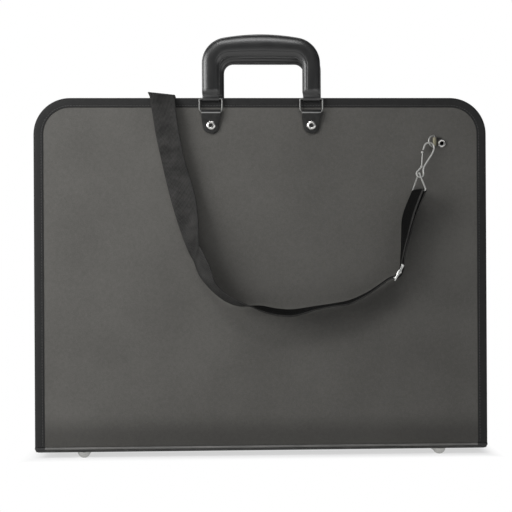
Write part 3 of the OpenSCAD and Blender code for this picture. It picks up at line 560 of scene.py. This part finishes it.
def sheet_loft(line, thick):
    """A strip with rounded edges, from points of y, z and half width in a plane across X."""
    rings = []
    for i, (y, z, half) in enumerate(line):
        ahead, behind = line[min(i + 1, len(line) - 1)], line[max(i - 1, 0)]
        run = Vector((0, ahead[0] - behind[0], ahead[1] - behind[1])).normalized()
        out = Vector((1, 0, 0)).cross(run)
        rings.append([Vector((s * half, y, z)) + out * (h * thick / 2) for s, h in strip_ring])
    return loft(rings)


for which, turn in SIDES:
    parts = []
    for sx in (-1, 1):
        points, faces, weave = sheet_loft(folded_tab(), tab_t)
        parts.append((turned([p + Vector((sx * tab_pitch / 2, 0, 0)) for p in points], turn), faces, weave))
    tabs = piece(which + "_folded_tabs", parts, tab_grain, which + "_cover")
    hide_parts(which + "_tabs")

# The rings: steel wire bent to a rectangle with drawn-in lower corners, butted and plated. The
# lower bar turns in the tab's fold and the upper bar carries the handle.
wire_plate = Finish("wire_plate", Metallic=1.0)
drawn = wire_plate.noise(0.002, 4.0, 0.6)
wire_plate.wear(Base_Color=wire_plate.tint(drawn, (0.13, 0.13, 0.126), (0.22, 0.22, 0.213)),
                Roughness=0.38 + drawn * 0.14, Normal=wire_plate.bump(drawn, 0.00003, 0.3))


def eased(points, rounds=2, closed=False):
    """The path with its corners cut, for a wire's bends."""
    for _ in range(rounds):
        pairs = list(zip(points, points[1:] + points[:1] if closed else points[1:]))
        cut = [p for a, b in pairs for p in (a.lerp(b, 0.25), a.lerp(b, 0.75))]
        points = cut if closed else [points[0]] + cut[1:-1] + [points[-1]]
    return points


def rod(path, r, sides=14, closed=False, ends=1.0):
    """Round wire along a path, its free ends drawn in to a share of its thickness."""
    m = len(path)
    rings, across = [], None
    for i, p in enumerate(path):
        ahead = path[(i + 1) % m] if closed else path[min(i + 1, m - 1)]
        behind = path[i - 1] if closed or i else path[0]
        run = (ahead - behind).normalized()
        across = run.orthogonal() if across is None else across - across.dot(run) * run
        across.normalize()
        up = run.cross(across)
        rings.append([p + r * (math.cos(a) * across + math.sin(a) * up)
                      for a in (2 * math.pi * k / sides for k in range(sides))])
    if not closed and ends < 1:
        tips = []
        for ring, at, near in ((rings[0], path[0], path[1]), (rings[-1], path[-1], path[-2])):
            out = (at - near).normalized() * r * 0.35
            tips.append([at + out + (q - at) * ends for q in ring])
        rings = [tips[0]] + rings + [tips[1]]
    return loft(rings, closed)


ring_half, ring_tall, ring_foot, ring_bend, ring_wire = 14.0, 16.4, 12.0, 1.6, 1.15
corner_rise, side_rise = 2.6, 4.2
loop = [(ring_foot, 0), (ring_half - 0.4, corner_rise), (ring_half, side_rise)]
loop += [(ring_half - ring_bend + ring_bend * math.cos(math.radians(a)),
          ring_tall - ring_bend + ring_bend * math.sin(math.radians(a))) for a in range(0, 91, 15)]
loop += [(-x, z) for x, z in reversed(loop)]
for which, turn in SIDES:
    parts = []
    for sx in (-1, 1):
        path = eased([Vector((sx * tab_pitch / 2 + x, ring_y, bar_z + z)) for x, z in loop], 1, True)
        points, faces, weave = rod(path, ring_wire, closed=True)
        parts.append((turned(points, turn), faces, weave))
    rings_made = piece(which + "_wire_rings", parts, wire_plate, which + "_ring_pair")
    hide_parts(which + "_rings")

# The handle: one black moulding with a broad smooth swelling that catches the light, a duller lip
# along both edges and one fine line near the inner edge. Blocks at its feet hold the rings.
handle_moulding = Finish("handle_moulding", Specular_IOR_Level=0.65)
flow = handle_moulding.noise(0.012, 3.0)
spark = handle_moulding.noise(0.0006, 3.0)
section_way = handle_moulding.woven()[0]
lips = 1 - section_way.over(0.0018, 0.0034) + section_way.over(0.066, 0.068)
handle_moulding.wear(
    Base_Color=handle_moulding.tint(flow, (0.0095, 0.0095, 0.0095), (0.015, 0.015, 0.0145)),
    Roughness=0.24 + flow * 0.07 + spark * 0.06 + lips * 0.4,
    Normal=handle_moulding.bump(spark, 0.00005, 0.4))
handle_w, leg_w, leg_low, crown_z, opening_z = 145.6, 21.8, 449.7, 520.5, 493.0
outer_r, inner_r, grip_lean, leg_deep, grip_deep = 32.0, 12.0, 10, 13, 16
foot_x, foot_z, foot_deep, rear_slide = tab_pitch / 2, 445.9, 5.8, 5.4
bar_top, bore_r = 441.7, 1.65


def bow(half, crown, r, lean):
    """One edge of the handle, from the left leg's end over the grip to the right leg's end."""
    lean = math.radians(lean)
    run = half - r + r * math.sin(lean)
    arch = run * math.tan(lean) / 2
    centre = crown - arch - r * math.cos(lean)
    line = [(-half, leg_low + (centre - leg_low) * t / 8) for t in range(9)]
    for k in range(1, 12):
        a = math.pi - k * (math.pi / 2 - lean) / 12
        line.append((r - half + r * math.cos(a), centre + r * math.sin(a)))
    line += [(t / 10 * run, crown - arch * (t / 10) ** 2) for t in range(-10, 11)]
    return line + [(-x, z) for x, z in reversed(line[:20])]


# Shares of the way from the inner edge to the outer edge, and of the full depth at each: a lip at
# both edges and one swelling between them, with a fine line cut in it.
lip = [(0, 0.28), (0.01, 0.44), (0.022, 0.53), (0.036, 0.565), (0.05, 0.575), (0.065, 0.58), (0.078, 0.605)]
line_at, line_cut = 0.25, 0.022
handle_section = lip + [
    (s, math.sqrt(1 - ((s - 0.5) / 0.56) ** 2) - (line_cut if s == line_at else 0))
    for s in (0.09, 0.12, 0.16, 0.20, 0.235, line_at, 0.265, 0.30, 0.35, 0.40, 0.45, 0.50,
              0.55, 0.60, 0.65, 0.70, 0.75, 0.80, 0.84, 0.88, 0.91)]
handle_section += [(1 - s, h) for s, h in reversed(lip)]


def handle_ring(a, b, depth):
    """The section from an inner point to an outer one, each of x and z."""
    front = [Vector((a[0] + (b[0] - a[0]) * s, -depth / 2 * h, a[1] + (b[1] - a[1]) * s))
             for s, h in handle_section]
    return front + [Vector((p.x, -p.y, p.z)) for p in reversed(front)]


def handle_foot(sx, share, end):
    """The moulding's end, drawn in by a share to the block round the ring's upper bar."""
    x = sx * (foot_x - 0.1 * share)
    half = end + (leg_w / 2 - end) * share ** 0.6
    z = foot_z + (leg_low - foot_z) * share
    return handle_ring((x - sx * half, z), (x + sx * half, z), foot_deep + (leg_deep - foot_deep) * share)


def bar_block(x, half):
    """The block at a leg's foot, bored for the ring's upper bar and slit below it."""
    outline = [(-2.9, 446.6), (-3.0, 445.6), (-3.0, 442.4), (-2.9, 440.9), (-2.4, 439.7),
               (-1.6, 438.9), (-0.3, 438.8)]
    bore = [(-bore_r * math.sin(a), bar_top - bore_r * math.cos(a))
            for a in (math.radians(d) for d in range(10, 181, 17))]
    side = outline + bore
    profile = side + [(-y, z) for y, z in reversed(side)]
    rings = []
    for dx, shrink in ((-half, 0.35), (-half + 0.12, 0.12), (-half + 0.4, 0), (0, 0), (half - 0.4, 0),
                       (half - 0.12, 0.12), (half, 0.35)):
        ring = []
        for y, z in profile:
            out = 1 if math.hypot(y, z - bar_top) > bore_r + 0.15 else 0
            ring.append(Vector((x + dx, y - math.copysign(shrink * out, y) if abs(y) > 0.5 else y, z)))
        rings.append(ring)
    return loft(rings)


outer = bow(handle_w / 2, crown_z, outer_r, grip_lean)
inner = bow(handle_w / 2 - leg_w, opening_z, inner_r, 0)
count = len(outer) - 1
for which, turn in SIDES:
    end = 10.2 if turn > 0 else 6.9
    rings = []
    for i in range(count + 1):
        swell = max(0, 1 - abs(i / count - 0.5) * 4)
        rings.append(handle_ring(inner[i], outer[i], leg_deep + (grip_deep - leg_deep) * swell))
    shares = (0, 0.08, 0.2, 0.4, 0.7)
    rings = [handle_foot(-1, t, end) for t in shares] + rings
    rings += [handle_foot(1, t, end) for t in reversed(shares)]
    slid = Vector((0 if turn > 0 else -rear_slide, ring_y, 0))
    parts = [(turned([p + slid for p in points], turn), faces, weave)
             for points, faces, weave in (loft(rings), bar_block(-foot_x, end), bar_block(foot_x, end))]
    grip = piece(which + "_moulded_grip", parts, handle_moulding, which + "_grip",
                 sharp=50.0)
    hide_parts(which + "_handle", which + "_tongues")

# The strap's anchor: a blackened plate under one rivet, worn to the brass where it is rolled round
# the straight side of a wire D-ring. The D-ring stands out from the cover.
anchor = Vector((224.4, 0.0, 387.0))
old_brass = Finish("old_brass", Metallic=0.5)
tarnish = old_brass.noise(0.003, 4.0, 0.6)
plate_x = abs(old_brass.xyz()[0])
brass = old_brass.tint(tarnish, (0.20, 0.185, 0.125), (0.32, 0.30, 0.215))
old_brass.wear(Base_Color=old_brass.tint(plate_x.over(0.2170, 0.2180), brass, (0.016, 0.0155, 0.014)),
               Roughness=0.42 + tarnish * 0.2, Normal=old_brass.bump(tarnish, 0.00005, 0.4))
old_brass.on("front_anchor_plate", "rear_anchor_plate")

hook_zinc = Finish("hook_zinc", Metallic=0.45)
bloom = hook_zinc.noise(0.002, 4.0, 0.6)
hook_zinc.wear(Base_Color=hook_zinc.tint(bloom, (0.30, 0.30, 0.285), (0.46, 0.46, 0.44)),
               Roughness=0.36 + bloom * 0.14, Normal=hook_zinc.bump(bloom, 0.00003, 0.3))


def set_at(at, turn, points):
    """Flat points of x and z, turned about X, then Y, then Z in degrees and moved to a place."""
    place = (Matrix.Translation(at) @ Matrix.Rotation(math.radians(turn[2]), 4, "Z")
             @ Matrix.Rotation(math.radians(turn[1]), 4, "Y") @ Matrix.Rotation(math.radians(turn[0]), 4, "X"))
    return [place @ Vector((x, 0, z)) for x, z in points]


def wire_piece(name, path, r, body, gone, closed=False, ends=0.6, more=()):
    """A wire along a path, with more parts on it, on the front and turned round on the back."""
    for which, turn in SIDES:
        points, faces, weave = rod(path, r, closed=closed, ends=ends)
        parts = [(turned(points, turn), faces, weave)]
        parts += [(turned(p, turn), f, w) for p, f, w in more]
        made = piece(which + name, parts, hook_zinc, which + body)
        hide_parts(which + gone)


d_at, d_turn, d_deep, d_half = anchor + Vector((-9.6, -21.4, 1.9)), (0, 0, 39), 10.9, 7.2
shape = [(-d_deep * math.sin(math.radians(a)), d_half * math.cos(math.radians(a))) for a in range(0, 181, 10)]
shape += [(0, -4.8), (0, -2.4), (0, 2.4), (0, 4.8)]
wire_piece("_wire_d_ring", eased(set_at(d_at, d_turn, shape), 1, True), 0.9, "_cover", "_d_ring", True)

# The snap hook: steel wire bent to an open eye, drawn in to a neck and widening to an arch over
# the D-ring. A sprung tongue with a thumb knob shuts it.
hook_at, hook_turn = anchor + Vector((-17.2, -27.0, -6.0)), (-14.0, 21.9, 0.0)
hook_r, eye_r, hook_len = 6.2, 4.4, 37.0
shape = [(-1.4, -28.6), (-2.2, -31.0)]
shape += [(eye_r * math.cos(math.radians(a)), eye_r * math.sin(math.radians(a)) - hook_len)
          for a in range(140, 391, 10)]
shape += [(2.6, -31.9), (1.9, -29.0), (1.9, -25.2), (3.6, -17.0), (5.4, -10.0), (6.2, -4.0)]
shape += [(hook_r * math.cos(math.radians(a)), hook_r * math.sin(math.radians(a))) for a in range(0, 181, 10)]
shape.append((-6.2, -6.0))
wire_piece("_wire_hook", eased(set_at(hook_at, hook_turn, shape), 1), 1.1, "_cover", "_hook")
shape = [(-1.2, -26.5), (-2.9, -20.5), (-4.6, -14.5), (-6.2, -8.6)]
gate_path = eased(set_at(hook_at, hook_turn, shape), 1)


def turned_part(middle, way, outline, sides=20):
    """A turned piece: radius and distance along its axis from its middle."""
    across = way.orthogonal().normalized()
    up = way.cross(across)
    return loft([[middle + way * t + r * (math.cos(a) * across + math.sin(a) * up)
                  for a in (2 * math.pi * k / sides for k in range(sides))] for r, t in outline])


knob_at, pivot_at = set_at(hook_at, hook_turn, [(-6.2, -9.6), (-1.2, -27.5)])
hook_way = (Matrix.Rotation(math.radians(hook_turn[1]), 3, "Y")
            @ Matrix.Rotation(math.radians(hook_turn[0]), 3, "X")) @ Vector((0, 1, 0))
ball_r = 1.7
knob = turned_part(knob_at, hook_way, [(ball_r * math.cos(math.radians(a)), ball_r * math.sin(math.radians(a)))
                                       for a in range(-80, 81, 20)])
barrel = turned_part(pivot_at, hook_way, [(1.1, -1.6), (1.5, -1.3), (1.5, 1.3), (1.1, 1.6)])
wire_piece("_spring_gate", gate_path, 0.8, "_gate", "_hook_gate", ends=1.0, more=(knob, barrel))

# The strap's end loop: a tall wire loop that narrows upwards into the hook's eye, with a straight
# bar below for the webbing.
loop_at, loop_turn, bar_half = anchor + Vector((-32.3, -37.75, -60.9)), (0, 0, -75.0), 17.7
top_r, top_at = 3, 19.5
shape = [(-top_r * math.cos(math.radians(a)), top_at + top_r * math.sin(math.radians(a)))
         for a in range(0, 181, 15)]
shape += [(bar_half, 2.2), (bar_half - 0.6, 0.7), (bar_half - 2, 0), (2 - bar_half, 0), (0.6 - bar_half, 0.7),
          (-bar_half, 2.2)]
wire_piece("_wire_loop", eased(set_at(loop_at, loop_turn, shape), 2, True), 1.0, "_cover", "_strap_loop", True)

# The strap: flat woven webbing 32 mm wide, sewn round the end loop and the buckle's middle bar. From
# the buckle it hangs in one long bight, is creased once on its way up and goes over the top edge to
# the back. Its inner side is painted nearly black as painted shade for the bight's deep shade, and
# its outer side is faded.
webbing = Finish("webbing", Specular_IOR_Level=0.07, Sheen_Weight=0.01, Sheen_Roughness=0.4)
web_side, web_run = webbing.woven()
rungs = (web_run * 4200 + (web_side * 1600).wave() * 1.2).wave()
cords = (web_side * 3600).wave()
soil = webbing.noise(0.02, 4.0, 0.6)
# painted shade: the inner side is painted nearly black, and the outer tone runs on round the near edge's bead
outer_vs_inner_painted_shade = web_side.over(0.0282, 0.0288)
webbing.wear(
    Base_Color=webbing.tint((rungs * 0.3 + cords * 0.2 + soil).over(-0.1, 1.1) * (outer_vs_inner_painted_shade * 0.97 + 0.03),
                            (0.0014, 0.0014, 0.0014), (0.055, 0.054, 0.052)),
    Roughness=0.62 + soil * 0.15, Normal=webbing.bump(rungs + cords * 0.7, 0.00022, 0.7))
web_t, wire_fold, buckle_step, bar_t = 1.5, 1.9, 12, 1.6
# Rows across the strap: the left edge's x, distance off the cover and depth below the top edge,
# then the right edge's. The hung rows are measured from the loop's bar.
front_hung = [(-4.1, 2.5, 0, 4.1, 33, 0), (-16.1, 2.5, 29.5, -6.9, 33.1, 27.8),
              (-18, 2.5, 55.5, -16.1, 34.3, 58), (-18.8, 2.8, 76.6, -21.6, 34.6, 78.4),
              (-21, 3.2, 100.7, -26.7, 34.7, 100.2)]
front_fall = [(156.5, 3, 225.3, 150.6, 34.4, 226.9), (143.4, 3, 232.9, 137.8, 34.4, 235),
              (128.4, 3, 242.2, 123.8, 34.6, 244.3), (108.5, 3.5, 250.7, 104.4, 35.1, 253.8),
              (86.1, 4, 255.1, 82.6, 35.8, 257), (65, 4.5, 257.9, 62.1, 36.2, 261),
              (46.4, 5, 260.8, 44, 36.4, 266.4), (31.6, 5, 261.8, 29.6, 36.3, 268.4),
              (15.6, 5, 260.2, 14, 36.3, 266.6), (-0.4, 4.5, 257.1, -1, 36, 262.4),
              (-15.1, 4, 257, -13.5, 36, 256.6), (-31.1, 3.5, 256.3, -27.9, 34.7, 249.9),
              (-45.9, 3.2, 250.4, -41, 33.8, 242.6), (-58.7, 3, 240.8, -52.3, 33.5, 233.6),
              (-68.5, 3, 230.8, -59.4, 32.6, 222.8), (-75.8, 3, 221.6, -63.1, 29.5, 209),
              (-80.1, 3, 212.9, -69.6, 27.9, 195.8), (-82.5, 2, 205.6, -74.8, 25.4, 185),
              (-84.7, 3, 200.6, -76.8, 28.3, 180.1), (-90.4, 2.8, 189.5, -77, 28, 174.1),
              (-96.1, 2.6, 175.4, -77.1, 25.3, 163.2), (-101.9, 2.5, 158.7, -78, 21.2, 148.5),
              (-108.5, 2.5, 137.2, -79.8, 14.6, 130), (-115.7, 2.5, 109.5, -85.3, 11.9, 106),
              (-122.9, 2.5, 77.6, -93.4, 14.6, 79.4), (-128.9, 2.5, 49.9, -98.8, 12.5, 54.2),
              (-133, 2.8, 24.1, -103.1, 13.2, 28.7), (-136, 3.4, 6.5, -105.4, 8, 7),
              (-137.6, 0.4, -3.9, -106.3, 0.6, -0.9)]
rear_hung = [(-4.1, 2.5, 0, 4.1, 33, 0), (-0.4, 2.5, 25.1, 8.6, 33, 26.1), (5.5, 2.5, 65.1, 11.5, 34.5, 65.1),
             (7.5, 3, 105.1, 10.5, 35, 105.1), (1.5, 3, 147.1, 3.5, 35, 147.1)]
rear_fall = [(176, 3, 292, 177, 35, 293), (146, 3, 298, 146, 35, 300), (121, 3, 272, 118, 35, 273),
             (111, 3, 230, 104, 34.5, 230), (115, 2.5, 180, 99, 30, 178), (121, 2.5, 125, 98, 25, 123),
             (128, 2.5, 75, 100, 17, 73), (134, 2.5, 35, 104, 10, 33), (137, 3.4, 6.5, 105.9, 6, 7),
             (137.6, 0.4, -3.9, 106.3, 0.6, -0.9)]
loop_x, loop_drop = 192.1, 117.4
fine_steps, source_steps = 6, 3


def edges_of(row):
    """A row's two edge points."""
    return (Vector((row[0], -20 - row[1], top_z - row[2])), Vector((row[3], -20 - row[4], top_z - row[5])))


def smooth_rows(rows, steps):
    """The rows' two edges along one smooth curve through them all."""
    def curve(a, b, c, d, t):
        return 0.5 * (2 * b + (c - a) * t + (2 * a - 5 * b + 4 * c - d) * t * t
                      + (3 * b - a - 3 * c + d) * t ** 3)
    last = len(rows) - 1
    made = []
    for i in range(last):
        four = [rows[max(i - 1, 0)], rows[i], rows[i + 1], rows[min(i + 2, last)]]
        for j in range(steps):
            made.append(tuple(curve(*(row[e] for row in four), j / steps) for e in (0, 1)))
    return made + [rows[last]]


def run_at(rows, i):
    ahead, behind = rows[min(i + 1, len(rows) - 1)], rows[max(i - 1, 0)]
    return (ahead[0] + ahead[1] - behind[0] - behind[1]).normalized()


def face_at(rows, i):
    return run_at(rows, i).cross(rows[i][1] - rows[i][0]).normalized()


def spread(i, last):
    """How far each layer of the doubled part stands from the middle at a step of the coarse path."""
    near, wide = web_t / 2 + 0.3, (web_t + bar_t) / 2 + 0.3
    if i < 6:
        return wire_fold + (near - wire_fold) * i / 6
    return near + (wide - near) * max(0.0, min(1.0, (i - last + 4) / 3))


def doubled(rows, last):
    """The whole strap: the tail behind, the turn round the loop's bar and the long run."""
    first, up = face_at(rows, 0), -run_at(rows, 0)
    k = fine_steps / source_steps
    made = []
    for i in range(int(last * k), -1, -1):
        off = -spread(i / k, last) * face_at(rows, i)
        made.append((rows[i][0] + off, rows[i][1] + off))
    for a in range(165, 0, -15):
        off = wire_fold * (math.cos(math.radians(a)) * first + math.sin(math.radians(a)) * up)
        made.append((rows[0][0] + off, rows[0][1] + off))
    for i in range(len(rows)):
        off = spread(i / k, last) * max(0, 1 - max(0, i / k - last) / 5) * face_at(rows, i)
        made.append((rows[i][0] + off, rows[i][1] + off))
    return made


web_face = [(0.0, 0.0), (0.006, 0.55), (0.02, 0.9), (0.05, 1.0), (0.09, 0.9), (0.25, 0.95), (0.5, 1.0),
            (0.75, 0.95), (0.91, 0.9), (0.95, 1.0), (0.98, 0.9), (0.994, 0.55)]
web_ring = web_face + [(1 - s, -h) for s, h in web_face]


def web(rows):
    """The webbing's skin, with its raised woven edges, round rows of two edge points."""
    rings = []
    for i, (left, right) in enumerate(rows):
        off = face_at(rows, i) * (web_t / 2)
        rings.append([left.lerp(right, s) + off * h for s, h in web_ring])
    return loft(rings)


def crown_half(turn, count=40):
    """Over the top edge to the middle of the zip, lower on the side towards the handle."""
    made = []
    for j in range(1, count + 1):
        t = 1 - j / count
        lift = 5.4 * (1 - t ** 4)
        high = Vector((turn * (-137.8 - lift / 2), -t * 19.9, top_z + 3.7 + lift * 0.88))
        made.append((high, Vector((turn * -106.4, -t * 19.9, top_z + 0.8 + lift * 0.72))))
    return made


def length_of(rows):
    mids = [(a + b) / 2 for a, b in rows]
    return sum((q - p).length for p, q in zip(mids, mids[1:]))


def hung_from_loop(rows):
    return [(r[0] + loop_x, r[1], r[2] + loop_drop, r[3] + loop_x, r[4], r[5] + loop_drop) for r in rows]


rows = smooth_rows([edges_of(r) for r in hung_from_loop(front_hung) + front_fall], fine_steps)
front_run = rows
rows = doubled(rows, buckle_step + 1) + crown_half(1)
front_web = piece("front_webbing", [web(rows)], webbing, None)
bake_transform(front_web)
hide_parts("front_strap", "strap_crown")
length_of(rows) * mm

rows = smooth_rows([edges_of(r) for r in hung_from_loop(rear_hung) + rear_fall], fine_steps)
rows = doubled(rows, 4) + crown_half(-1)
points, faces, weave = web(rows)
rear_web = piece("rear_webbing", [(turned(points, -1), faces, weave)], webbing, None)
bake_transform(rear_web)
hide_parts("rear_strap")
length_of(rows) * mm

# The buckle: a cast slider of two straight side rails, each with a boss at its middle, a middle bar
# for the sewn end, and two end bars that lie just over the strap.
buckle_cast = Finish("buckle_cast", Metallic=1.0)
dent = buckle_cast.noise(0.002, 4.0, 0.6)
buckle_cast.wear(Base_Color=buckle_cast.tint(dent, (0.40, 0.40, 0.39), (0.62, 0.62, 0.60)),
                 Roughness=0.26 + dent * 0.18, Normal=buckle_cast.bump(dent, 0.00005, 0.4))
buckle_w, buckle_len, end_rise, rail_rise = 38.0, 20.0, 2.9, 1.9
step = int(buckle_step * fine_steps / source_steps)
t, n = run_at(front_run, step), face_at(front_run, step)
w = n.cross(t)
middle = (front_run[step][0] + front_run[step][1]) / 2


def bevelled(low, high, chamfer=0.5):
    """A bar between two corners, its edges taken off all round."""
    bm = bmesh.new()
    bmesh.ops.create_cube(bm, size=1)
    for v in bm.verts:
        v.co = Vector([(low[k] + high[k]) / 2 + v.co[k] * (high[k] - low[k]) for k in range(3)])
    bmesh.ops.bevel(bm, geom=bm.edges[:], offset=chamfer, segments=3, affect="EDGES", profile=0.5)
    bm.verts.index_update()
    points = [middle + t * v.co.x + w * v.co.y + n * v.co.z for v in bm.verts]
    faces = [[v.index for v in f.verts] for f in bm.faces]
    weave = [[(v.co.x, v.co.y) for v in f.verts] for f in bm.faces]
    bm.free()
    return points, faces, weave


def side_rail(across):
    """A straight side rail with a round boss at its middle, where the middle bar ends."""
    boss_r, boss_rise, rail_half, tip_half = 2.2, 0.9, 1.15, 0.8
    stations = [0.6, 1.3, 1.9, 2.4, 8.0, 9.4, 9.7]
    rings = []
    for x in [-x for x in reversed(stations)] + [0.0] + stations:
        boss = boss_rise * math.sqrt(max(0, 1 - (x / boss_r) ** 2))
        tall = tip_half if abs(x) == stations[-1] else rail_half + boss
        rings.append([middle + t * x + w * (across + a) + n * (rail_rise + b) for a, b in (
            (-0.9, -0.6 * tall), (-0.6, -tall), (0.6, -tall), (0.9, -0.6 * tall),
            (0.9, 0.6 * tall), (0.6, tall), (-0.6, tall), (-0.9, 0.6 * tall))])
    return loft(rings)


half = buckle_w / 2
parts = [bevelled((-bar_t / 2, -half, -bar_t / 2), (bar_t / 2, half, bar_t / 2))]
for s in (-1, 1):
    mid = s * (buckle_len - bar_t) / 2
    parts.append(bevelled((mid - bar_t / 2, -half, end_rise), (mid + bar_t / 2, half, end_rise + bar_t)))
    parts.append(side_rail(s * (half - 0.9)))
buckle = piece("cast_buckle", parts, buckle_cast, "front_cover")
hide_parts("strap_buckle")
